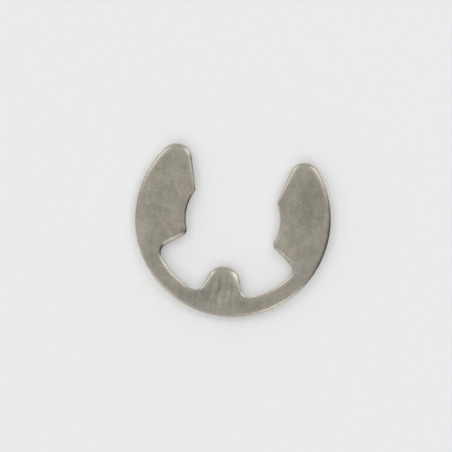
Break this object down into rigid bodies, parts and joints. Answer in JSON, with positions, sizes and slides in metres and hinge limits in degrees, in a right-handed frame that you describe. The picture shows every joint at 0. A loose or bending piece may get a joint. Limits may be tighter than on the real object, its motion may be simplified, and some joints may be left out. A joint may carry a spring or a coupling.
{
  "type": "e clip",
  "caption": "Flat spring-steel e clip, pushed sideways into the groove of a shaft to stop parts sliding off it, with an open throat, a part-round seat and a centre prong.",
  "frame": {"origin": "on the axis of the shaft that the seat grips, in the plane of the underside, on which the clip lies", "axes": "+Z along the shaft, out of the upper face with its rounded edges; +Y out of the open throat; +X across both arms"},
  "size_m": [0.0122, 0.0103, 0.0007],
  "materials": {
    "spring_steel": "tumbled satin, bare and slightly warm grey"
  },
  "bodies": {
    "root": {"e_clip": "spring_steel"}
  },
  "joints": []
}
